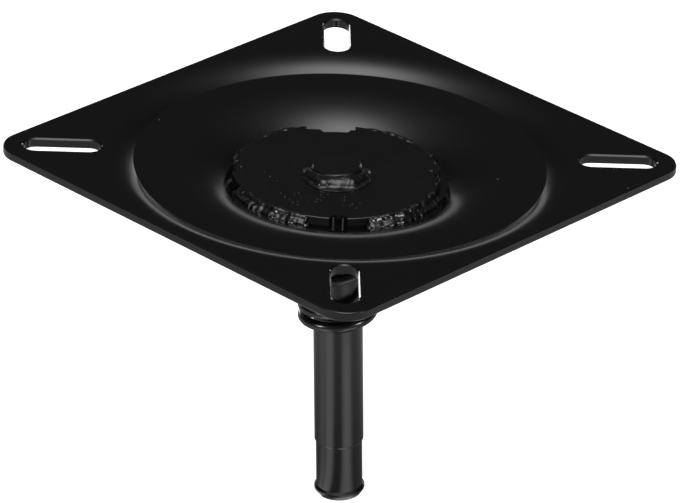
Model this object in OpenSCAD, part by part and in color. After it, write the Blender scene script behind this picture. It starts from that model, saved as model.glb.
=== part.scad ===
// Seat mount: a stamped square seat plate on a swivel pin, with a coil spring hung
// round the pin. X and Y run along the plate's diagonals, through its corner slots.
// The origin is the middle of the plate's top face, and Z is up, out of that face.
// All sizes are in millimetres.

/* [Seat plate] */
// Flat metal between the dish's roll and the middle of each side
rim_w = 0.9; // [0.8:0.1:20]
// Thickness of the sheet
plate_t = 3.4; // [2.5:0.1:4]
// Radius of the plate's corners, seen from above
plate_corner_r = 10.8; // [6:0.1:16]
// Rounding of the plate's outer edges
plate_edge_r = 0.6; // [0.2:0.1:1]

/* [Corner slots] */
// Width of each slot
slot_w = 9.3; // [6:0.1:10]
// Length of each slot, end to end
slot_l = 28; // [16:0.1:28]
// Metal between each slot and the plate's corner
corner_margin = 7.25; // [5:0.05:9]
// Chamfer that the punch leaves round each slot
slot_lip = 0.5; // [0.2:0.1:0.8]

/* [Pressed dish] */
// Width of the roll that leads down from the rim
roll_run = 13.7; // [11:0.1:20]
// Depth of the step at the foot of the roll
step_depth = 4; // [3:0.1:5]
// Width of the flat land inside the step
land_w = 8.3; // [4:0.1:20]
// Width of the bowl's convex slope
bowl_run = 27; // [22:0.1:34]
// Depth of the well's floor below the top face
well_depth = 10.9; // [9:0.1:12]
// Floor between the disc and the foot of the bowl
well_margin = 1.4; // [1.2:0.1:3]
// Bend radius of the two pressed corners
bend_r = 1; // [0.5:0.1:1.5]

/* [Hub disc] */
// Radius of the disc
hub_r = 37.6; // [34:0.1:39]
// Thickness of the disc
hub_t = 3.7; // [3:0.1:4.2]
// Rounding of the disc's upper edge
hub_edge_r = 0.5; // [0.2:0.1:0.9]
// Shift of the disc and pin from the plate's middle
hub_shift = -1.1; // [-1.1:0.1:1.1]
// Radius of the bite in the middle of the back notch
notch_bite_r = 6; // [4:0.1:7]
// Depth of that bite, from the disc's rim
notch_bite_depth = 7.9; // [5:0.1:9]
// Width of the back notch's shallow part
notch_w = 18; // [15:0.1:21]
// Depth of the shallow part, from the disc's rim
notch_depth = 4.1; // [2:0.1:4.5]
// Shift of the shallow part from the bite's middle
notch_shift = 1.6; // [0:0.1:2]
// Radius of the small notches at the sides and the front
nick_r = 3.4; // [2.5:0.1:5]
// Depth of the small notches, from the disc's rim
nick_depth = 2.8; // [1.5:0.1:4]

/* [Rim welds] */
// Angle that each of the four beads covers
weld_sweep = 51; // [30:1:56]
// Turn of the beads from the middles of the quarters, towards the front and the back
weld_turn = 2.5; // [0:0.5:4]
// Width of a bead on the well's floor
weld_leg = 3.1; // [2:0.1:4]
// Height of the ripples along a bead
weld_ripple = 0.22; // [0.05:0.01:0.4]

/* [Pin] */
// Lean of the pin from square to the plate, its foot towards +X
pin_lean = 2.7; // [0:0.1:4]
// Radius of the pin's bearing length
pin_r = 9.1; // [8.7:0.05:9.3]
// Height of the pin's upper end above the disc
pin_head_h = 2.6; // [2.2:0.1:4]
// Distance from the disc's top down to the relief
pin_body_l = 110.8; // [90:0.1:140]
// Radius of the relief
relief_r = 8.6; // [7.5:0.05:8.6]
// Length of the relief
relief_l = 18.7; // [12:0.1:30]
// Height of the lip at the foot over the pin's bearing length
lip_h = 0.25; // [0.1:0.05:0.25]
// Radius of the foot's flat end
foot_r = 8.2; // [6:0.1:8.4]
// Height of the shoulder that the spring grips
shoulder_h = 8; // [5:0.1:10]
// Depth of the neck between the shoulder and the bearing length
neck_depth = 0.2; // [0.1:0.05:0.4]

/* [Pin weld] */
// Radius of the weld puddle in front of the pin
puddle_r = 13.5; // [12:0.1:15]
// Distance from the pin's middle to the puddle's middle
puddle_shift = 5.3; // [4:0.1:6]
// Height of the puddle against the pin
puddle_h = 1.9; // [1:0.1:2.1]

/* [Spring] */
// Diameter of the wire
wire_d = 4; // [3:0.1:4.5]
// Outside diameter of the coil
coil_od = 29.8; // [29:0.1:34]
// Overall length when free
spring_l = 54.3; // [46:0.1:64]
// Number of turns from tip to tip
spring_turns = 5.5; // [5.5:1:7.5]
// Pitch at the two closed ends
end_pitch = 4.6; // [4.6:0.1:5]

/* [Hidden] */
$fn = 96;
finish_black = [0.13, 0.13, 0.13];
weld_black = [0.2, 0.2, 0.2];
spring_black = [0.16, 0.16, 0.17];

// Clearances and the overrun of every cut
seat_gap = 0.02;
pin_gap = 0.12;
spring_gap = 0.15;
cut = 1;

// Small edges of the pin
head_chamfer = 0.7;
step_chamfer = 0.6;
lip_rise = 0.9;
lip_land = 0.8;
lip_taper = 1.8;

// Sections of the weld beads, as shares of their width and height
bead_shares = [[0, 0], [0.25, 0], [0.5, 0], [1, 0], [0.93, 0.2], [0.66, 0.5], [0.3, 0.8], [0, 1]];
puddle_shares = [[0, 0], [1, 0], [0.9, 0.25], [0.65, 0.55], [0.35, 0.82], [0.12, 0.97], [0, 1]];
tip_share = 0.25;
tip_growth = 3;

// Steps along rounded corners and sweeps
corner_steps = 4;
bend_steps = 4;
roll_steps = 30;
ripple_pitch = 2.4;
steps_per_ripple = 3;
puddle_steps = 44;
wire_sides = 12;
steps_per_turn = 40;

// Derived sizes of the plate and disc, each ring built out from the one inside it
well_r = hub_r + well_margin;
bowl_start_r = well_r + bowl_run;
step_r = bowl_start_r + land_w;
roll_start_r = step_r + roll_run;
plate_half = roll_start_r + rim_w;
corner_place = plate_half - plate_corner_r;
corner_tip_r = corner_place * sqrt(2) + plate_corner_r;
bowl_fall = well_depth - step_depth;
bowl_arc_r = (bowl_run * bowl_run + bowl_fall * bowl_fall) / (2 * bowl_fall);
well_floor_z = -well_depth;
hub_top_z = well_floor_z + hub_t;
slot_centre_r = corner_tip_r - corner_margin - slot_l / 2;
slot_end_r = slot_w / 2;
slot_half_run = slot_l / 2 - slot_end_r;

// Derived sizes along the pin, measured down from the disc's top
shoulder_r = coil_od / 2 - wire_d - spring_gap;
seat_drop = hub_t + plate_t;
shoulder_top = (seat_drop + shoulder_r * sin(pin_lean)) / cos(pin_lean) + seat_gap;
shoulder_end = shoulder_top + shoulder_h;
relief_end = pin_body_l + relief_l;
foot_end = relief_end + lip_rise + lip_land + lip_taper;
lip_r = pin_r + lip_h;
neck_r = pin_r - neck_depth;

// Derived sizes of the spring
coil_r = (coil_od - wire_d) / 2;
half_turns = spring_turns / 2;
end_turns = 1.15;
ramp_turns = 0.6;
wound_h = spring_l - wire_d;
pitch_rise = (wound_h / 2 - end_pitch * half_turns) / (half_turns - end_turns - ramp_turns / 2);
spring_top = seat_drop / cos(pin_lean) + spring_gap + wire_d / 2;
bearing_start = spring_top + wound_h + wire_d / 2 + spring_gap;
first_angle = 90;

// Points on an arc about c, from angle a0 through the sweep
function arc_pts(c, r, a0, sweep, steps) = [
    for (i = [0 : steps]) c + r * [cos(a0 + sweep * i / steps), sin(a0 + sweep * i / steps)]
];

function unit(v) = v / norm(v);

// The corner q of the path p, q, s, rounded to radius r
function bend_pts(p, q, s, r) =
    let (
        u = unit(p - q),
        v = unit(s - q),
        half = acos(u * v) / 2,
        c = q + unit(u + v) * r / sin(half),
        from = q + u * r / tan(half) - c,
        to = q + v * r / tan(half) - c,
        a0 = atan2(from[1], from[0]),
        turn = atan2(to[1], to[0]) - a0,
        sweep = turn > 180 ? turn - 360 : turn < -180 ? turn + 360 : turn
    )
    arc_pts(c, r, a0, sweep, bend_steps);

// Outline of a slab's edge: radius x, height y, rounded above and below
function edge_pts(x, t, r) = concat(
    arc_pts([x - r, -t + r], r, -90, 90, corner_steps),
    arc_pts([x - r, -r], r, 0, 90, corner_steps)
);

// Solid skinned over equal rings of points, open at both ends of the list
module skin(rings) {
    count = len(rings);
    sides = len(rings[0]);
    points = [for (ring = rings) each ring];
    walls = [
        for (i = [0 : count - 2], j = [0 : sides - 1])
            let (k = (j + 1) % sides)
            [i * sides + j, i * sides + k, (i + 1) * sides + k, (i + 1) * sides + j]
    ];
    first = [for (j = [0 : sides - 1]) sides - 1 - j];
    last = [for (j = [0 : sides - 1]) (count - 1) * sides + j];
    polyhedron(points, concat([first], walls, [last]), convexity = 10);
}

// Places its children on the pin's axis, with z = 0 at the disc's top
module on_pin() {
    translate([hub_shift, 0, hub_top_z]) rotate([0, -pin_lean, 0]) children();
}

// Square slab with round corners and rounded edges, its sides at 45 degrees to X
module plate_slab() {
    section = concat(
        edge_pts(plate_half, plate_t, plate_edge_r),
        [for (p = edge_pts(plate_half, plate_t, plate_edge_r)) [-p[0], -plate_t - p[1]]]
    );
    corner = concat([[0, -plate_t]], edge_pts(plate_corner_r, plate_t, plate_edge_r), [[0, 0]]);
    rotate([0, 0, 45]) union() {
        for (turn = [0, 90])
            rotate([90, 0, turn])
                linear_extrude(2 * corner_place, center = true) polygon(section);
        for (x = [-1, 1], y = [-1, 1])
            translate([x * corner_place, y * corner_place, 0]) rotate_extrude() polygon(corner);
    }
}

// Convex roll that starts level at [r, z] and falls inwards by fall over run
function roll_pts(r, z, run, fall) =
    let (roll_r = (run * run + fall * fall) / (2 * fall))
    arc_pts([r, z - roll_r], roll_r, 90, 2 * atan(fall / run), roll_steps);

// The list without its last point
function but_last(list) = [for (i = [0 : len(list) - 2]) list[i]];

// Upper surface of the pressing as a profile, from the rim inwards, lowered by drop
function pressing(drop) =
    let (
        roll = but_last(roll_pts(roll_start_r, -drop, roll_run, step_depth)),
        bowl = but_last(roll_pts(bowl_start_r, -step_depth - drop, bowl_run, bowl_fall)),
        foot = [step_r, -step_depth - drop],
        floor_edge = [well_r, -well_depth - drop],
        middle = [0, -well_depth - drop]
    )
    concat(
        roll,
        bend_pts(roll[len(roll) - 1], foot, bowl[0], bend_r),
        bowl,
        bend_pts(bowl[len(bowl) - 1], floor_edge, middle, bend_r),
        [middle]
    );

// Height of the well's floor and slope at radius r, above the floor
function bowl_rise(r) =
    r < well_r ? 0
    : bowl_fall - bowl_arc_r + sqrt(bowl_arc_r * bowl_arc_r - pow(bowl_start_r - r, 2));

module pressed_bowl() {
    lower = pressing(plate_t);
    rotate_extrude() polygon(concat([[0, -plate_t / 2], [lower[0][0], -plate_t / 2]], lower));
}

module dish_cut() {
    upper = pressing(0);
    rotate_extrude() polygon(concat([[0, cut], [upper[0][0], cut]], upper));
}

// One slot along +X, with the chamfer round its upper edge
module slot_cut() {
    mouth_r = slot_end_r + slot_lip;
    translate([slot_centre_r, 0, 0]) {
        for (side = [-1, 1])
            translate([side * slot_half_run, 0, -plate_t - cut]) {
                cylinder(r = slot_end_r, h = plate_t + 2 * cut);
                translate([0, 0, plate_t + cut - slot_lip])
                    cylinder(r1 = slot_end_r, r2 = mouth_r, h = slot_lip);
            }
        translate([-slot_half_run, -slot_end_r, -plate_t - cut])
            cube([2 * slot_half_run, slot_w, plate_t + 2 * cut]);
        rotate([90, 0, 90])
            linear_extrude(2 * slot_half_run, center = true)
                polygon([[-slot_end_r, -slot_lip], [slot_end_r, -slot_lip], [mouth_r, 0], [-mouth_r, 0]]);
    }
}

module seat_plate() {
    color(finish_black) difference() {
        union() {
            plate_slab();
            pressed_bowl();
        }
        dish_cut();
        for (a = [0 : 90 : 270]) rotate([0, 0, a]) slot_cut();
        on_pin() translate([0, 0, -2 * seat_drop]) cylinder(r = pin_r + pin_gap, h = 3 * seat_drop);
    }
}

// Round cut in the disc's rim, on +X
module bite_cut(r, depth) {
    translate([hub_r - depth + r, 0, -hub_t - cut]) cylinder(r = r, h = hub_t + 2 * cut);
}

// Back notch, turned to +X: a shallow step with a round bite in it
module notch_cut() {
    translate([hub_r - notch_depth, notch_shift - notch_w / 2, -hub_t - cut])
        cube([notch_depth + cut, notch_w, hub_t + 2 * cut]);
    bite_cut(notch_bite_r, notch_bite_depth);
}

module hub_disc() {
    rim = concat(
        [[0, -hub_t], [hub_r, -hub_t]],
        arc_pts([hub_r - hub_edge_r, -hub_edge_r], hub_edge_r, 0, 90, corner_steps),
        [[0, 0]]
    );
    color(finish_black) difference() {
        translate([hub_shift, 0, hub_top_z]) difference() {
            rotate_extrude() polygon(rim);
            rotate([0, 0, 90]) notch_cut();
            for (a = [0, 180, 270]) rotate([0, 0, a]) bite_cut(nick_r, nick_depth);
        }
        on_pin() translate([0, 0, -2 * hub_t]) cylinder(r = pin_r + pin_gap, h = 3 * hub_t);
    }
}

// Fillet bead between the disc's rim and the bowl's foot, its middle at angle middle
module rim_weld(middle) {
    inner_r = hub_r + seat_gap;
    height = hub_t - hub_edge_r;
    ripples = ceil(inner_r * weld_sweep * PI / 180 / ripple_pitch);
    steps = ripples * steps_per_ripple;
    rings = [
        for (i = [0 : steps])
            let (
                share = i / steps,
                a = middle + weld_sweep * (share - 1 / 2),
                taper = min(1, tip_share + tip_growth * sqrt(share * (1 - share))),
                swell = weld_ripple * (i % steps_per_ripple == 0 ? -1 : 1),
                leg = (weld_leg + swell) * taper,
                top = min(height, (height + swell) * taper),
                section = [for (p = bead_shares) [inner_r + leg * p[0], top * p[1]]]
            )
            [
                for (p = section)
                    let (at = [p[0] * cos(a), p[0] * sin(a)])
                    [at[0], at[1], p[1] + bowl_rise(norm(at + [hub_shift, 0]) + seat_gap)]
            ]
    ];
    color(weld_black) translate([hub_shift, 0, well_floor_z + seat_gap]) skin(rings);
}

module weld_front_right() {
    rim_weld(315 - weld_turn);
}

module weld_back_right() {
    rim_weld(45 + weld_turn);
}

module weld_back_left() {
    rim_weld(135 - weld_turn);
}

module weld_front_left() {
    rim_weld(225 + weld_turn);
}

// Turned pin: head, shoulder, neck, bearing length, relief and snap lip
module swivel_pin() {
    color(finish_black) on_pin() rotate_extrude() polygon([
        [0, pin_head_h],
        [pin_r - head_chamfer, pin_head_h],
        [pin_r, pin_head_h - head_chamfer],
        [pin_r, -shoulder_top],
        [shoulder_r, -shoulder_top],
        [shoulder_r, -shoulder_end + step_chamfer],
        [shoulder_r - step_chamfer, -shoulder_end],
        [neck_r, -shoulder_end],
        [neck_r, -bearing_start + neck_depth],
        [pin_r, -bearing_start],
        [pin_r, -pin_body_l + step_chamfer],
        [pin_r - step_chamfer / 2, -pin_body_l],
        [relief_r, -pin_body_l],
        [relief_r, -relief_end],
        [lip_r, -relief_end - lip_rise],
        [lip_r, -relief_end - lip_rise - lip_land],
        [foot_r, -foot_end],
        [0, -foot_end]
    ]);
}

// Weld puddle that laps the front of the pin's head, thickest towards -Y
module pin_weld() {
    inner_r = pin_r + pin_gap + seat_gap;
    front_reach = puddle_shift + puddle_r;
    end_reach = inner_r + seat_gap;
    end_a = acos((end_reach * end_reach + puddle_shift * puddle_shift - puddle_r * puddle_r)
        / (2 * end_reach * puddle_shift));
    rings = [
        for (i = [0 : puddle_steps])
            let (
                a = end_a * (2 * i / puddle_steps - 1),
                across = puddle_shift * sin(a),
                reach = puddle_shift * cos(a) + sqrt(puddle_r * puddle_r - across * across),
                leg = max(seat_gap, reach - inner_r),
                top = puddle_h * sqrt(leg / (front_reach - inner_r)),
                section = [for (p = puddle_shares) [inner_r + leg * p[0], top * p[1]]]
            )
            [for (p = section) [p[0] * sin(a), -p[0] * cos(a), p[1]]]
    ];
    color(weld_black) translate([hub_shift, 0, hub_top_z + seat_gap]) skin(rings);
}

// Height gained t turns from a tip of the spring, closed at first and then open
function end_climb(t) =
    let (u = max(0, min(1, (t - end_turns) / ramp_turns)))
    end_pitch * t + pitch_rise * (ramp_turns * (u * u * u - u * u * u * u / 2)
        + max(0, t - end_turns - ramp_turns));

function spring_climb(t) = t < half_turns ? end_climb(t) : wound_h - end_climb(spring_turns - t);

// Right-handed coil, its lower tip at the back and its upper tip under the plate
module spring() {
    steps = spring_turns * steps_per_turn;
    bottom = -spring_top - wound_h;
    rings = [
        for (i = [0 : steps])
            let (
                t = i / steps_per_turn,
                a = first_angle + 360 * t,
                h = bottom + spring_climb(t)
            )
            [
                for (j = [0 : wire_sides - 1])
                    let (
                        b = 360 * j / wire_sides,
                        r = coil_r + wire_d / 2 * cos(b)
                    )
                    [r * cos(a), r * sin(a), h + wire_d / 2 * sin(b)]
            ]
    ];
    color(spring_black) on_pin() skin(rings);
}

seat_plate();
hub_disc();
weld_front_right();
weld_back_right();
weld_back_left();
weld_front_left();
swivel_pin();
pin_weld();
spring();
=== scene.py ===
# Dresses the seat mount: its black coats, the weld beads, the coil spring and the studio.
import math
import random

import bmesh
import bpy
from bpy.props import (
    FloatProperty,
    FloatVectorProperty,
    IntProperty,
    PointerProperty,
)
from mathutils import Matrix, Vector


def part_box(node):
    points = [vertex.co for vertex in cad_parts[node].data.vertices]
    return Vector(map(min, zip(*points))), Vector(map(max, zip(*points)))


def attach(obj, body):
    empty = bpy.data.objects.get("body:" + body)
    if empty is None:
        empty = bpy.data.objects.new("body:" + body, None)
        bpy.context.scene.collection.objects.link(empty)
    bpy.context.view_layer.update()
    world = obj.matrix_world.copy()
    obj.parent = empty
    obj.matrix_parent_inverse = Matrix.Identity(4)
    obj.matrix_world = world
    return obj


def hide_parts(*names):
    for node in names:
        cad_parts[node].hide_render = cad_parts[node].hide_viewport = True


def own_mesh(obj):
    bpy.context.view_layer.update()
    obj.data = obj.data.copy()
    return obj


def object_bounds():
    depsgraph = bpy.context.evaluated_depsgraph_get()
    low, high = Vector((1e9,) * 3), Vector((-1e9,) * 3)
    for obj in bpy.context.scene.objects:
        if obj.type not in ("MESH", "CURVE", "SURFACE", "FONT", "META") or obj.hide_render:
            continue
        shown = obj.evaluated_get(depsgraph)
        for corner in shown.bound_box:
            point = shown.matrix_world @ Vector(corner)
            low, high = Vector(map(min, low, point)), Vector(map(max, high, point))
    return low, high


bl_info = {
    "name": "Seat Mount",
    "version": (1, 0, 0),
    "blender": (4, 5, 0),
    "location": "View3D > Sidebar > Seat Mount",
    "description": "Coats, welds, spring and studio for a seat mount",
    "category": "Object",
}

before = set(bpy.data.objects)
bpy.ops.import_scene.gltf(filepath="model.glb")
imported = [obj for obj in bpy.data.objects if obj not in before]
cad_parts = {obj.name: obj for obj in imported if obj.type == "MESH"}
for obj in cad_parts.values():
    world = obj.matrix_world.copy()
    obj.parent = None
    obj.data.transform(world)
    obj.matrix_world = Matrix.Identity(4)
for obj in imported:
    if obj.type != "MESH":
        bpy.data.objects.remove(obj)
cad_low, cad_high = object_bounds()

PLATE_BODY = "mount"
MERGE_DISTANCE = 1e-6

# Coat: its uneven patches, the fine grain as shares of the soft waves, and how much duller some pieces are
PATCH_SIZE = 0.012
PATCH_DETAIL = 3
PATCH_ROUGHNESS_LOSS = 0.02
PATCH_ROUGHNESS_GAIN = 0.03
WAVE_DETAIL = 1
GRAIN_SIZE_SHARE = 1 / 4
GRAIN_DEPTH_SHARE = 1 / 6
DULLER = 0.1
# Middle range of a noise, which spread() maps to its low and high values
NOISE_LOW_SHARE = 0.35
NOISE_HIGH_SHARE = 0.65

# Coat on the welds
WELD_DETAIL = 2
WELD_PATCH_SIZE = 0.003
WELD_ROUGHNESS_LOW = 0.16
WELD_ROUGHNESS_HIGH = 0.3
WELD_GRAIN_SIZE = 0.0012
WELD_GRAIN_DEPTH = 0.000008

# Roundness of a drop of weld
DROP_LEVELS = 2
# Each rim weld with the angle of its middle in degrees and the seed of its drops
RIM_WELDS = (
    ("weld_front_right", 312.5, 4),
    ("weld_back_right", 47.5, 5),
    ("weld_back_left", 132.5, 6),
    ("weld_front_left", 227.5, 7),
)
BEAD_SWEEP = math.radians(48)
# Ring that a bead's drops follow, past the disc's rim, as a share of the drop's radius
RING_SHARE = 0.5
# Upper row of drops, against the disc's rim, and lower row, on the dish
UPPER_ROW_INSET = 0.0009
UPPER_ROW_DROP = 0.0012
UPPER_ROW_SHARE = 0.85
LOWER_ROW_OUTSET = 0.0006
LOWER_ROW_SHARE = 1.25
# How a row wanders: what each drop keeps of the last one's drift, the step, and the spread of sizes
DRIFT_KEPT_SHARE = 0.7
DRIFT_STEP = 0.00018
BEAD_SPREAD_SHARE = 0.06
BEAD_SMOOTHING = 36
# Ripples on a bead, as shares of its lumps
RIPPLE_SIZE_SHARE = 1 / 3
RIPPLE_HEIGHT_SHARE = 1 / 5

# Puddle at the pin: its flat skirt, the arc of drops in front of the pin, and two lumps
PUDDLE_SEED = 11
PUDDLE_SKIRT_SHARE = 0.4
PUDDLE_DROPS = 33
PUDDLE_START_DEGREES = -172
PUDDLE_SWEEP_DEGREES = 164
PUDDLE_REACH = 0.0106
PUDDLE_RISE = 0.0002
PUDDLE_SIDE_R = 0.0018
PUDDLE_FRONT_GAIN = 0.0018
PUDDLE_SPREAD_SHARE = 0.03
PUDDLE_FLAT_SHARE = 0.76
PUDDLE_LUMPS = ((-0.006, -0.0116), (0.004, -0.0113))
PUDDLE_LUMP_R = 0.003
PUDDLE_LUMP_FLAT_SHARE = 0.85
PUDDLE_HEIGHT_SHARE = 0.6
PUDDLE_SMOOTHING = 60

# Spatter: a first drop, and a patch of drops in front of the pin within the disc
SPATTER_SEED = 21
FIRST_DROP = (0.004, -0.026)
FIRST_DROP_R = 0.0004
FIRST_DROP_FLAT_SHARE = 0.7
SPATTER_LEFT = -0.022
SPATTER_RIGHT = 0.008
SPATTER_BACK = -0.018
SPATTER_DEPTH = 0.012
SPATTER_REACH = 0.0335
SMALL_DROP_R = 0.00016
LARGE_DROP_R = 0.0004
FLAT_DROP_SHARE = 0.5
ROUND_DROP_SHARE = 0.9
# Places of the specks under the plate's paint
PLATE_NIBS = ((-0.0657, 0.031), (0.0565, -0.008), (0.1022, -0.0214))
NIB_R = 0.0005
NIB_FLAT_SHARE = 0.6
# Height from which a speck is dropped onto the plate
NIB_DROP = 0.01
# Place, as x and y, and radius of the larger drops on the disc
RIM_DROPS = (
    (-0.0372, 0.0055, 0.0008),
    (-0.0356, 0.0008, 0.0007),
    (0.0346, 0.0086, 0.0006),
    (0.033, 0.0021, 0.0006),
    (0.0344, -0.0082, 0.0005),
    (-0.027, -0.0026, 0.0003),
    (-0.0252, -0.006, 0.0004),
    (-0.0225, -0.0095, 0.0003),
)
RIM_DROP_FLAT_SHARE = 0.8

# Spring: faces flatter than one angle are joined, edges sharper than another keep their corner
FLAT_ANGLE = math.radians(2)
CREASE_ANGLE = math.radians(60)
CREASE_SHARE = 0.8
SMOOTH_ANGLE = math.radians(40)

# Painted pool of light and painted shadow on the floor, seen only in reflections, by the sideways (X) and
# backward (Y) shares of the direction from the pin
SIDE_END_SHARE = 0.96
SIDE_FADE_SHARE = 0.08
BEHIND_PIN_SHARE = 0.12
BEFORE_PIN_SHARE = -0.08
PAINTED_FILL_SHARE = 0.4
# Fully bright part of the painted light on the floor under the pin's foot, seen only in reflections, as a
# share of its radius
PAINTED_FOOT_LIGHT_SHARE = 0.5
FLOOR_CORNERS = 96

# Soft glows of the sky: azimuth and elevation in degrees, brightness, width in degrees and falloff
SKY_GLOWS = (
    (-23.5, 88, 2.76, 19, 2.7),
    (-11, 80, 1.28, 19, 1.5),
    (180, 66, 4, 18, 1.5),
    (-27, -1, 14, 5.5, 1.5),
    (27, -1, 14, 5.5, 1.5),
)
# Bright band behind the part: where it fades out and where it is full, above the floor and sideways
BAND_TOP = math.radians(10)
BAND_FULL_TOP = math.radians(5.5)
BAND_SIDE = math.radians(20)
BAND_FULL_SIDE = math.radians(11)

SOFTBOX_SIDES = (("left_softbox", -1), ("right_softbox", 1))
SOFTBOX_AZIMUTH = math.radians(123)
SOFTBOX_ELEVATION = math.radians(19)
SOFTBOX_DISTANCE = 1.5
SOFTBOX_SIZE = 0.36
SOFTBOX_POWER = 9.5
# In millimetres, as the lens
SENSOR_WIDTH = 36
CLIP_NEAR = 0.05
CLIP_FAR = 50


class CoatSettings(bpy.types.PropertyGroup):
    """Black semi-gloss coat of the plate, the disc and the pin"""

    paint: FloatVectorProperty(
        name="Paint",
        description="Colour of the coat",
        subtype="COLOR",
        default=(0.0021, 0.002, 0.0019),
        min=0,
        max=1,
    )
    roughness: FloatProperty(
        name="Roughness",
        description="Roughness of the coat",
        subtype="FACTOR",
        default=0.12,
        min=0,
        max=1,
    )
    peel_size: FloatProperty(
        name="Orange peel size",
        description="Width of the soft waves in the coat",
        subtype="DISTANCE",
        unit="LENGTH",
        default=0.0022,
    )
    peel_depth: FloatProperty(
        name="Orange peel depth",
        description="Height of the soft waves in the coat",
        subtype="DISTANCE",
        unit="LENGTH",
        default=0.000003,
    )


class WeldSettings(bpy.types.PropertyGroup):
    """Lumpy beads round the disc and the puddle at the pin"""

    voxel: FloatProperty(
        name="Mesh size",
        description="Size of the mesh that the beads are rebuilt from",
        subtype="DISTANCE",
        unit="LENGTH",
        default=0.00024,
    )
    drop_size: FloatProperty(
        name="Drop size",
        description="Radius of the drops that a bead is laid from",
        subtype="DISTANCE",
        unit="LENGTH",
        default=0.0017,
    )
    drop_pitch: FloatProperty(
        name="Drop pitch",
        description="Distance between the drops of a bead",
        subtype="DISTANCE",
        unit="LENGTH",
        default=0.0009,
    )
    lump_size: FloatProperty(
        name="Lump size",
        description="Width of the lumps along a bead",
        subtype="DISTANCE",
        unit="LENGTH",
        default=0.005,
    )
    lump_height: FloatProperty(
        name="Lump height",
        description="Height of the lumps along a bead",
        subtype="DISTANCE",
        unit="LENGTH",
        default=0.0013,
    )
    spatter_count: IntProperty(
        name="Spatter",
        description="Number of small drops on the disc",
        default=34,
        min=0,
    )


class SpringSettings(bpy.types.PropertyGroup):
    """Coil spring under the plate"""

    levels: IntProperty(
        name="Rounding",
        description="Subdivision levels of the wire",
        default=2,
        min=0,
        max=3,
    )


class StudioSettings(bpy.types.PropertyGroup):
    """Camera, lamps and the white floor"""

    distance: FloatProperty(
        name="Camera distance",
        description="From the camera to the middle of the plate",
        subtype="DISTANCE",
        unit="LENGTH",
        default=1.7581,
    )
    azimuth: FloatProperty(
        name="Camera azimuth",
        description="Turn of the camera round the plate",
        subtype="ANGLE",
        unit="ROTATION",
        default=math.radians(-2.054),
    )
    elevation: FloatProperty(
        name="Camera elevation",
        description="Height of the camera above the plate",
        subtype="ANGLE",
        unit="ROTATION",
        default=math.radians(27.592),
    )
    roll: FloatProperty(
        name="Camera roll",
        description="Turn of the picture",
        subtype="ANGLE",
        unit="ROTATION",
        default=math.radians(2.598),
    )
    aim_drop: FloatProperty(
        name="Aim drop",
        description="How far below the plate's middle the picture's centre lies",
        subtype="DISTANCE",
        unit="LENGTH",
        default=0.035408,
    )
    aim_left: FloatProperty(
        name="Aim left",
        description="How far left of the plate's middle the picture's centre lies",
        subtype="DISTANCE",
        unit="LENGTH",
        default=0.00023,
    )
    lens: FloatProperty(
        name="Lens",
        description="Focal length on a 36 mm sensor",
        subtype="DISTANCE_CAMERA",
        unit="CAMERA",
        default=258.79,
    )
    floor_radius: FloatProperty(
        name="Floor radius",
        description="Radius of the white floor",
        subtype="DISTANCE",
        unit="LENGTH",
        default=2.5,
    )
    floor_white: FloatVectorProperty(
        name="Floor white",
        description="Colour of the floor",
        subtype="COLOR",
        default=(0.45, 0.45, 0.45),
        min=0,
        max=1,
    )
    floor_glow: FloatProperty(
        name="Floor glow",
        description="Light that whitens the floor for the camera",
        default=0.94,
    )
    # Painted pool of light on the floor: emission seen only in reflections, standing in for the lit floor
    # round the plate's shadow
    painted_pool_glow: FloatProperty(
        name="Pool glow",
        description="Brightness that the floor's lit parts gain in reflections",
        default=1.3,
    )
    # Where the painted shadow in front of the pin gives way to the painted pool of light, and where that
    # painted light ends at the sides
    painted_shade_front: FloatProperty(
        name="Dark front",
        description="Sideways share of the direction from the pin at which the front stays dark",
        default=0.2,
    )
    painted_light_front: FloatProperty(
        name="Lit front",
        description="Sideways share of the direction from the pin at which the front is lit",
        default=0.5,
    )
    painted_light_side: FloatProperty(
        name="Lit side",
        description="Sideways share of the direction from the pin at which the light ends",
        default=0.8,
    )
    # How much of the painted light reaches round to the left
    painted_fill_left: FloatProperty(
        name="Left fill",
        description="Share of the glow that reaches round to the left",
        default=0.5,
    )
    # Painted bright patch under the pin's foot, and how far the painted pool of light reaches before it
    # fades
    painted_foot_light_reach: FloatProperty(
        name="Foot reach",
        description="Radius of the bright floor under the pin's foot",
        subtype="DISTANCE",
        unit="LENGTH",
        default=0.014,
    )
    painted_pool_reach: FloatProperty(
        name="Pool reach",
        description="From the plate's middle to where the glow starts to fade",
        subtype="DISTANCE",
        unit="LENGTH",
        default=0.15,
    )
    painted_pool_far_reach: FloatProperty(
        name="Far reach",
        description="From the plate's middle to where the glow ends",
        subtype="DISTANCE",
        unit="LENGTH",
        default=0.21,
    )
    back_wall: FloatProperty(
        name="Back wall",
        description="Brightness of the band behind the part",
        default=0.5,
    )
    dim_room: FloatProperty(
        name="Dim room",
        description="Brightness of the rest of the room",
        default=0.042,
    )


def deselect_all():
    for item in bpy.context.selected_objects:
        item.select_set(False)


def make_active(piece):
    deselect_all()
    piece.select_set(True)
    bpy.context.view_layer.objects.active = piece


def add_node(tree, kind, inputs=None, **settings):
    """A new node with its settings, its inputs set to values or joined to sockets."""
    node = tree.nodes.new(kind)
    for key, value in settings.items():
        setattr(node, key, value)
    for key, value in (inputs or {}).items():
        if isinstance(value, bpy.types.NodeSocket):
            tree.links.new(value, node.inputs[key])
        else:
            node.inputs[key].default_value = value
    return node


def new_material(name):
    material = bpy.data.materials.new(name)
    material.use_nodes = True
    shader = material.node_tree.nodes["Principled BSDF"]
    return material, material.node_tree, shader


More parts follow.
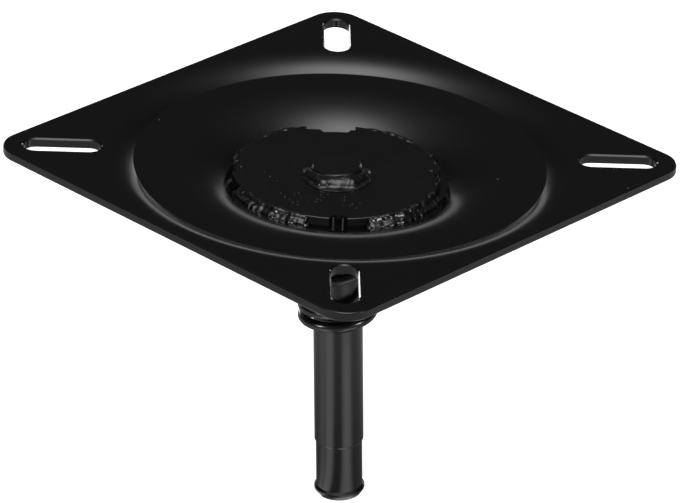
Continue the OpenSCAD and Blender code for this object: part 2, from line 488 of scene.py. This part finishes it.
def object_noise(tree, size, detail):
    """Noise from 0 to 1 whose waves are about size wide, on Object coordinates."""
    place = add_node(tree, "ShaderNodeTexCoord")
    noise = add_node(
        tree,
        "ShaderNodeTexNoise",
        {"Vector": place.outputs["Object"], "Scale": 1 / size, "Detail": detail},
    )
    return noise.outputs["Fac"]


def math_of(tree, operation, *values):
    """Result of a math node whose inputs are numbers or sockets."""
    return add_node(tree, "ShaderNodeMath", dict(enumerate(values)), operation=operation).outputs[0]


def scaled(tree, value, factor):
    return math_of(tree, "MULTIPLY", value, factor)


def summed(tree, first, second):
    return math_of(tree, "ADD", first, second)


def larger(tree, first, second):
    return math_of(tree, "MAXIMUM", first, second)


def join_bump(tree, shader, height):
    """Bump from a height in metres."""
    bump = add_node(tree, "ShaderNodeBump", {"Height": height, "Strength": 1.0, "Distance": 1.0})
    tree.links.new(bump.outputs["Normal"], shader.inputs["Normal"])


def spread(tree, value, low, high):
    """Maps a noise's middle range to low and high."""
    ramp = add_node(
        tree,
        "ShaderNodeMapRange",
        {
            "Value": value,
            "From Min": NOISE_LOW_SHARE,
            "From Max": NOISE_HIGH_SHARE,
            "To Min": low,
            "To Max": high,
        },
    )
    return ramp.outputs["Result"]


def coat_material(name, coat, roughness):
    material, tree, shader = new_material(name)
    shader.inputs["Base Color"].default_value = (*coat.paint, 1)
    patches = object_noise(tree, PATCH_SIZE, PATCH_DETAIL)
    uneven = spread(tree, patches, roughness - PATCH_ROUGHNESS_LOSS, roughness + PATCH_ROUGHNESS_GAIN)
    tree.links.new(uneven, shader.inputs["Roughness"])
    peel = scaled(tree, object_noise(tree, coat.peel_size, WAVE_DETAIL), coat.peel_depth)
    grain = object_noise(tree, coat.peel_size * GRAIN_SIZE_SHARE, WAVE_DETAIL)
    grain = scaled(tree, grain, coat.peel_depth * GRAIN_DEPTH_SHARE)
    join_bump(tree, shader, summed(tree, peel, grain))
    return material


def set_material(piece, material):
    piece.data.materials.clear()
    piece.data.materials.append(material)


def dress_node(name, material):
    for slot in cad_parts[name].material_slots:
        slot.material = material


def copy_of(node_name, piece_name):
    """A merged copy of a CAD node's mesh, as a new piece that is left active."""
    piece = bpy.data.objects.new(piece_name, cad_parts[node_name].data.copy())
    piece.data.name = piece_name
    bpy.context.scene.collection.objects.link(piece)
    make_active(piece)
    bpy.ops.object.mode_set(mode="EDIT")
    bpy.ops.mesh.select_all(action="SELECT")
    bpy.ops.mesh.customdata_custom_splitnormals_clear()
    bpy.ops.mesh.remove_doubles(threshold=MERGE_DISTANCE)
    bpy.ops.mesh.tris_convert_to_quads()
    bpy.ops.mesh.normals_make_consistent(inside=False)
    bpy.ops.object.mode_set(mode="OBJECT")
    return piece


def apply_modifiers(piece):
    make_active(piece)
    for modifier in list(piece.modifiers):
        bpy.ops.object.modifier_apply(modifier=modifier.name)


def add_lumps(piece, name, size, height):
    texture = bpy.data.textures.new(name, type="CLOUDS")
    texture.noise_scale = size
    texture.noise_depth = 1
    modifier = piece.modifiers.new(name, "DISPLACE")
    modifier.texture = texture
    modifier.texture_coords = "LOCAL"
    modifier.strength = height
    modifier.mid_level = 0.5


def weld_material(coat):
    material, tree, shader = new_material("weld_coat")
    shader.inputs["Base Color"].default_value = (*coat.paint, 1)
    patches = object_noise(tree, WELD_PATCH_SIZE, WELD_DETAIL)
    uneven = spread(tree, patches, WELD_ROUGHNESS_LOW, WELD_ROUGHNESS_HIGH)
    tree.links.new(uneven, shader.inputs["Roughness"])
    grain = object_noise(tree, WELD_GRAIN_SIZE, WELD_DETAIL)
    join_bump(tree, shader, scaled(tree, grain, WELD_GRAIN_DEPTH))
    return material


def drop_at(place, radius, flat_share=1):
    """Adds one drop of weld, to the mesh in edit mode where there is one."""
    bpy.ops.mesh.primitive_ico_sphere_add(
        subdivisions=DROP_LEVELS,
        radius=radius,
        location=place,
        scale=(1, 1, flat_share),
    )


def melt_together(piece, welds, height_share, rounds):
    """Rebuilds the drops of a bead as one skin, softened and lumpy."""
    height = welds.lump_height * height_share
    remesh = piece.modifiers.new("rebuild", "REMESH")
    remesh.mode = "VOXEL"
    remesh.voxel_size = welds.voxel
    remesh.use_smooth_shade = True
    soften = piece.modifiers.new("soften", "SMOOTH")
    soften.iterations = rounds
    add_lumps(piece, piece.name + "_lumps", welds.lump_size, height)
    ripple_size = welds.lump_size * RIPPLE_SIZE_SHARE
    add_lumps(piece, piece.name + "_ripples", ripple_size, height * RIPPLE_HEIGHT_SHARE)
    apply_modifiers(piece)


def finish_bead(piece, node_name, material):
    set_material(piece, material)
    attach(piece, PLATE_BODY)
    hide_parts(node_name)


def form_rim_bead(node_name, middle, seed, welds, material):
    """One bead at the disc's rim, laid as two rows of overlapping drops."""
    piece = copy_of(node_name, node_name.replace("weld", "bead"))
    low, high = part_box("hub_disc")
    hub_r = (high.x - low.x) / 2
    centre_x = (high.x + low.x) / 2
    ring_r = hub_r + welds.drop_size * RING_SHARE
    rows = (
        (ring_r - UPPER_ROW_INSET, high.z - UPPER_ROW_DROP, UPPER_ROW_SHARE),
        (ring_r + LOWER_ROW_OUTSET, low.z, LOWER_ROW_SHARE),
    )
    count = round(ring_r * BEAD_SWEEP / welds.drop_pitch)
    chance = random.Random(seed)
    bpy.ops.object.mode_set(mode="EDIT")
    drift = 0
    for index in range(count):
        angle = math.radians(middle) + BEAD_SWEEP * (index / (count - 1) - 0.5)
        drift = DRIFT_KEPT_SHARE * drift + chance.uniform(-DRIFT_STEP, DRIFT_STEP)
        for row_r, height, share in rows:
            uneven = chance.uniform(1 - BEAD_SPREAD_SHARE, 1 + BEAD_SPREAD_SHARE)
            reach = row_r + drift
            place = (centre_x + reach * math.cos(angle), reach * math.sin(angle), height)
            drop_at(place, share * welds.drop_size * uneven)
    bpy.ops.object.mode_set(mode="OBJECT")
    melt_together(piece, welds, 1, BEAD_SMOOTHING)
    finish_bead(piece, node_name, material)


def form_pin_puddle(welds, material):
    """The puddle in front of the pin: a thin skirt, a thick bead against the pin and two lumps."""
    piece = copy_of("pin_weld", "pin_puddle")
    low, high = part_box("pin_weld")
    centre_x = (high.x + low.x) / 2
    bpy.ops.object.mode_set(mode="EDIT")
    bpy.ops.mesh.select_all(action="SELECT")
    bpy.ops.transform.resize(value=(1, 1, PUDDLE_SKIRT_SHARE), center_override=(0, 0, low.z))
    height = low.z + PUDDLE_RISE
    chance = random.Random(PUDDLE_SEED)
    for index in range(PUDDLE_DROPS):
        angle = math.radians(PUDDLE_START_DEGREES + PUDDLE_SWEEP_DEGREES * index / (PUDDLE_DROPS - 1))
        front_share = max(0, -math.sin(angle))
        uneven = chance.uniform(1 - PUDDLE_SPREAD_SHARE, 1 + PUDDLE_SPREAD_SHARE)
        x = centre_x + PUDDLE_REACH * math.cos(angle)
        y = PUDDLE_REACH * math.sin(angle)
        radius = (PUDDLE_SIDE_R + PUDDLE_FRONT_GAIN * front_share) * uneven
        drop_at((x, y, height), radius, PUDDLE_FLAT_SHARE)
    for x, y in PUDDLE_LUMPS:
        drop_at((x, y, height), PUDDLE_LUMP_R, PUDDLE_LUMP_FLAT_SHARE)
    bpy.ops.object.mode_set(mode="OBJECT")
    melt_together(piece, welds, PUDDLE_HEIGHT_SHARE, PUDDLE_SMOOTHING)
    finish_bead(piece, "pin_weld", material)


def throw_spatter(welds, material):
    """Small drops of weld on the disc, and specks on the plate."""
    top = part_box("hub_disc")[1].z
    chance = random.Random(SPATTER_SEED)
    drop_at((*FIRST_DROP, top), FIRST_DROP_R, FIRST_DROP_FLAT_SHARE)
    piece = bpy.context.active_object
    piece.name = "spatter"
    bpy.ops.object.transform_apply()
    bpy.ops.object.mode_set(mode="EDIT")
    for index in range(welds.spatter_count):
        x = chance.uniform(SPATTER_LEFT, SPATTER_RIGHT)
        y = SPATTER_BACK - chance.uniform(0, SPATTER_DEPTH)
        if math.hypot(x, y) < SPATTER_REACH:
            radius = chance.uniform(SMALL_DROP_R, LARGE_DROP_R)
            drop_at((x, y, top), radius, chance.uniform(FLAT_DROP_SHARE, ROUND_DROP_SHARE))
    for x, y, radius in RIM_DROPS:
        drop_at((x, y, top), radius, RIM_DROP_FLAT_SHARE)
    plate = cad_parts["seat_plate"]
    for x, y in PLATE_NIBS:
        place = plate.ray_cast(Vector((x, y, NIB_DROP)), Vector((0, 0, -1)))[1]
        drop_at(place, NIB_R, NIB_FLAT_SHARE)
    bpy.ops.object.mode_set(mode="OBJECT")
    bpy.ops.object.shade_smooth()
    set_material(piece, material)
    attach(piece, PLATE_BODY)


class SEATMOUNT_OT_coat_metal(bpy.types.Operator):
    """Coats the plate, the disc and the pin"""

    bl_idname = "seatmount.coat_metal"
    bl_label = "Coat the plate, disc and pin"

    def execute(self, context):
        coat = context.scene.seatmount_coat
        dress_node("seat_plate", coat_material("plate_black", coat, coat.roughness))
        dress_node("hub_disc", coat_material("disc_black", coat, coat.roughness + DULLER))
        dress_node("swivel_pin", coat_material("pin_black", coat, coat.roughness + DULLER))
        return {"FINISHED"}


class SEATMOUNT_OT_rim_welds(bpy.types.Operator):
    """Forms the beads round the disc, the puddle at the pin and the spatter"""

    bl_idname = "seatmount.rim_welds"
    bl_label = "Form the welds"

    def execute(self, context):
        welds = context.scene.seatmount_welds
        material = weld_material(context.scene.seatmount_coat)
        for name, middle, seed in RIM_WELDS:
            form_rim_bead(name, middle, seed, welds, material)
        form_pin_puddle(welds, material)
        throw_spatter(welds, material)
        return {"FINISHED"}


class SEATMOUNT_OT_coil_spring(bpy.types.Operator):
    """Rounds the coil spring's wire"""

    bl_idname = "seatmount.coil_spring"
    bl_label = "Form the coil spring"

    def execute(self, context):
        settings = context.scene.seatmount_spring
        piece = copy_of("spring", "coil_spring")
        bpy.ops.object.mode_set(mode="EDIT")
        bpy.ops.mesh.select_all(action="SELECT")
        bpy.ops.mesh.dissolve_limited(angle_limit=FLAT_ANGLE)
        bpy.ops.object.mode_set(mode="OBJECT")
        form = bmesh.new()
        form.from_mesh(piece.data)
        crease = form.edges.layers.float.new("crease_edge")
        for edge in form.edges:
            if edge.calc_face_angle(0) > CREASE_ANGLE:
                edge[crease] = CREASE_SHARE
        form.to_mesh(piece.data)
        form.free()
        rounding = piece.modifiers.new("rounding", "SUBSURF")
        rounding.levels = settings.levels
        rounding.render_levels = settings.levels
        apply_modifiers(piece)
        bpy.ops.object.shade_smooth_by_angle(angle=SMOOTH_ANGLE)
        coat = context.scene.seatmount_coat
        set_material(piece, coat_material("spring_black", coat, coat.roughness + DULLER))
        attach(piece, PLATE_BODY)
        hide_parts("spring")
        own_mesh(piece)
        return {"FINISHED"}


def add_softbox(name, place):
    """A square lamp that looks at the plate's middle."""
    bpy.ops.object.light_add(type="AREA", location=place)
    lamp = bpy.context.active_object
    lamp.name = name
    lamp.data.shape = "RECTANGLE"
    lamp.data.size = SOFTBOX_SIZE
    lamp.data.size_y = SOFTBOX_SIZE
    lamp.data.energy = SOFTBOX_POWER
    lamp.rotation_euler = (-place).to_track_quat("-Z", "Y").to_euler()


def floor_material(studio):
    """White to the camera; to reflected rays it shows a painted pool of light round a painted shadow of
    the plate, with painted light under the pin's foot and behind the plate.
    """
    material, tree, shader = new_material("floor_white")
    tree.nodes.remove(shader)
    output = tree.nodes["Material Output"]
    place = add_node(tree, "ShaderNodeTexCoord")
    level = add_node(
        tree,
        "ShaderNodeVectorMath",
        {0: place.outputs["Object"], 1: (1, 1, 0)},
        operation="MULTIPLY",
    ).outputs[0]
    reach = add_node(tree, "ShaderNodeVectorMath", {0: level}, operation="LENGTH").outputs["Value"]
    turned = add_node(tree, "ShaderNodeVectorMath", {0: level}, operation="NORMALIZE").outputs[0]
    part = add_node(tree, "ShaderNodeSeparateXYZ", {0: turned})
    aside = math_of(tree, "ABSOLUTE", part.outputs["X"])
    # Painted light beside the pin: bright sideways and dark straight in front as a painted shadow of the
    # plate, only towards the front, with painted light reaching round to the left
    painted_side_light = scaled(
        tree,
        fade_between(tree, aside, studio.painted_shade_front, studio.painted_light_front),
        fade_between(tree, aside, SIDE_END_SHARE, studio.painted_light_side - SIDE_FADE_SHARE),
    )
    before_pin = fade_between(tree, part.outputs["Y"], BEHIND_PIN_SHARE, BEFORE_PIN_SHARE)
    painted_side_light = scaled(tree, painted_side_light, before_pin)
    left = fade_between(tree, part.outputs["X"], -studio.painted_light_front, -1)
    front = fade_between(tree, part.outputs["Y"], PAINTED_FILL_SHARE, -PAINTED_FILL_SHARE)
    painted_side_light = larger(tree, painted_side_light, scaled(tree, scaled(tree, left, front), studio.painted_fill_left))
    # Painted light behind the plate, and a painted bright patch under the pin's foot, fading out past the
    # painted pool's reach
    behind = fade_between(tree, part.outputs["Y"], studio.painted_light_side, 1)
    foot = fade_between(tree, reach, studio.painted_foot_light_reach, studio.painted_foot_light_reach * PAINTED_FOOT_LIGHT_SHARE)
    painted_far_light = fade_between(tree, reach, studio.painted_pool_reach, studio.painted_pool_far_reach)
    painted_side_light = scaled(tree, painted_side_light, fade_between(tree, reach, studio.painted_pool_far_reach, studio.painted_pool_reach))
    glow = larger(tree, painted_side_light, scaled(tree, behind, larger(tree, foot, painted_far_light)))
    # Painted pool of light and painted shadow on the floor, added to the emission for reflected rays only
    painted_reflection_glow = scaled(tree, glow, studio.painted_pool_glow)
    rays = add_node(tree, "ShaderNodeLightPath")
    reflected = summed(tree, rays.outputs["Is Glossy Ray"], rays.outputs["Is Transmission Ray"])
    seen = summed(
        tree,
        scaled(tree, rays.outputs["Is Camera Ray"], studio.floor_glow),
        scaled(tree, reflected, painted_reflection_glow),
    )
    matt = add_node(tree, "ShaderNodeBsdfDiffuse", {"Color": (*studio.floor_white, 1)})
    shine = add_node(tree, "ShaderNodeEmission", {"Color": (1, 1, 1, 1), "Strength": seen})
    both = add_node(tree, "ShaderNodeAddShader", {0: matt.outputs[0], 1: shine.outputs[0]})
    clear = add_node(tree, "ShaderNodeBsdfTransparent")
    side = add_node(tree, "ShaderNodeNewGeometry")
    mixed = add_node(
        tree,
        "ShaderNodeMixShader",
        {0: side.outputs["Backfacing"], 1: both.outputs[0], 2: clear.outputs[0]},
    )
    tree.links.new(mixed.outputs[0], output.inputs["Surface"])
    return material


def direction(azimuth, elevation):
    """Unit vector whose azimuth is measured from +Y towards +X."""
    level = math.cos(elevation)
    return Vector((math.sin(azimuth) * level, math.cos(azimuth) * level, math.sin(elevation)))


def soft_glow(tree, looking, azimuth, elevation, peak, width, falloff):
    """Light from one part of the sky, peak in its middle and fading over width. Angles are in degrees."""
    towards = add_node(
        tree,
        "ShaderNodeVectorMath",
        {0: looking, 1: direction(math.radians(azimuth), math.radians(elevation))},
        operation="DOT_PRODUCT",
    )
    angle = math_of(tree, "ARCCOSINE", towards.outputs["Value"])
    power = math_of(tree, "POWER", scaled(tree, angle, 1 / math.radians(width)), falloff)
    fade = math_of(tree, "EXPONENT", scaled(tree, power, -1))
    return scaled(tree, fade, peak)


def fade_between(tree, value, low, high):
    """0 at low and 1 at high, with soft ends."""
    fade = add_node(
        tree,
        "ShaderNodeMapRange",
        {"Value": value, "From Min": low, "From Max": high},
        interpolation_type="SMOOTHSTEP",
    )
    return fade.outputs["Result"]


def light_world(studio):
    """White to the camera, and to the rest the sky's glows, the bright band and the dim room."""
    world = bpy.data.worlds.new("studio_world")
    bpy.context.scene.world = world
    world.use_nodes = True
    tree = world.node_tree
    tree.nodes.clear()
    looking = add_node(tree, "ShaderNodeTexCoord").outputs["Generated"]
    part = add_node(tree, "ShaderNodeSeparateXYZ", {0: looking})
    low_band = fade_between(tree, part.outputs["Z"], math.sin(BAND_TOP), math.sin(BAND_FULL_TOP))
    at_back = fade_between(tree, part.outputs["Y"], math.cos(BAND_SIDE), math.cos(BAND_FULL_SIDE))
    band = scaled(tree, scaled(tree, low_band, at_back), studio.back_wall)
    sky = summed(tree, band, studio.dim_room)
    for glow_values in SKY_GLOWS:
        sky = summed(tree, sky, soft_glow(tree, looking, *glow_values))
    rays = add_node(tree, "ShaderNodeLightPath")
    strength = add_node(
        tree,
        "ShaderNodeMix",
        {"Factor": rays.outputs["Is Camera Ray"], 2: sky, 3: 1.0},
    )
    glow = add_node(
        tree,
        "ShaderNodeBackground",
        {"Color": (1, 1, 1, 1), "Strength": strength.outputs[0]},
    )
    output = add_node(tree, "ShaderNodeOutputWorld")
    tree.links.new(glow.outputs[0], output.inputs["Surface"])


def place_camera(studio):
    azimuth, elevation = studio.azimuth, studio.elevation
    back = Vector(
        (
            math.sin(azimuth) * math.cos(elevation),
            -math.cos(azimuth) * math.cos(elevation),
            math.sin(elevation),
        )
    )
    right = Vector((math.cos(azimuth), math.sin(azimuth), 0))
    turn = Matrix.Rotation(studio.roll, 3, back)
    right = turn @ right
    up = back.cross(right)
    bpy.ops.object.camera_add()
    camera = bpy.context.active_object
    camera.name = "photo_camera"
    camera.location = back * studio.distance - right * studio.aim_left - up * studio.aim_drop
    camera.rotation_euler = Matrix((right, up, back)).transposed().to_euler()
    camera.data.lens = studio.lens
    camera.data.sensor_width = SENSOR_WIDTH
    camera.data.clip_start = CLIP_NEAR
    camera.data.clip_end = CLIP_FAR
    bpy.context.scene.camera = camera


class SEATMOUNT_OT_studio(bpy.types.Operator):
    """Places the floor, the lamps, the world and the camera"""

    bl_idname = "seatmount.studio"
    bl_label = "Set up the studio"

    def execute(self, context):
        studio = context.scene.seatmount_studio
        deselect_all()
        bpy.ops.mesh.primitive_circle_add(
            vertices=FLOOR_CORNERS,
            radius=studio.floor_radius,
            fill_type="NGON",
            location=(0, 0, cad_low.z),
        )
        floor = context.active_object
        floor.name = "floor"
        bpy.ops.object.transform_apply()
        set_material(floor, floor_material(studio))
        for name, side in SOFTBOX_SIDES:
            towards = direction(side * SOFTBOX_AZIMUTH, SOFTBOX_ELEVATION)
            add_softbox(name, towards * SOFTBOX_DISTANCE)
        light_world(studio)
        place_camera(studio)
        context.scene.view_settings.view_transform = "Standard"
        return {"FINISHED"}


class SEATMOUNT_PT_panel(bpy.types.Panel):
    """Lists the steps that dress the seat mount"""

    bl_idname = "SEATMOUNT_PT_panel"
    bl_label = "Seat Mount"
    bl_space_type = "VIEW_3D"
    bl_region_type = "UI"
    bl_category = "Seat Mount"

    def draw(self, context):
        for operator in OPERATORS:
            self.layout.operator(operator.bl_idname)


OPERATORS = (
    SEATMOUNT_OT_coat_metal,
    SEATMOUNT_OT_rim_welds,
    SEATMOUNT_OT_coil_spring,
    SEATMOUNT_OT_studio,
)
SETTINGS = {
    "seatmount_coat": CoatSettings,
    "seatmount_welds": WeldSettings,
    "seatmount_spring": SpringSettings,
    "seatmount_studio": StudioSettings,
}


def register():
    for name, group in SETTINGS.items():
        bpy.utils.register_class(group)
        setattr(bpy.types.Scene, name, PointerProperty(type=group))
    for operator in OPERATORS:
        bpy.utils.register_class(operator)
    bpy.utils.register_class(SEATMOUNT_PT_panel)


def unregister():
    bpy.utils.unregister_class(SEATMOUNT_PT_panel)
    for operator in reversed(OPERATORS):
        bpy.utils.unregister_class(operator)
    for name, group in SETTINGS.items():
        delattr(bpy.types.Scene, name)
        bpy.utils.unregister_class(group)


def main():
    register()
    bpy.ops.seatmount.coat_metal()
    bpy.ops.seatmount.rim_welds()
    bpy.ops.seatmount.coil_spring()
    bpy.ops.seatmount.studio()


if __name__ == "__main__":
    main()
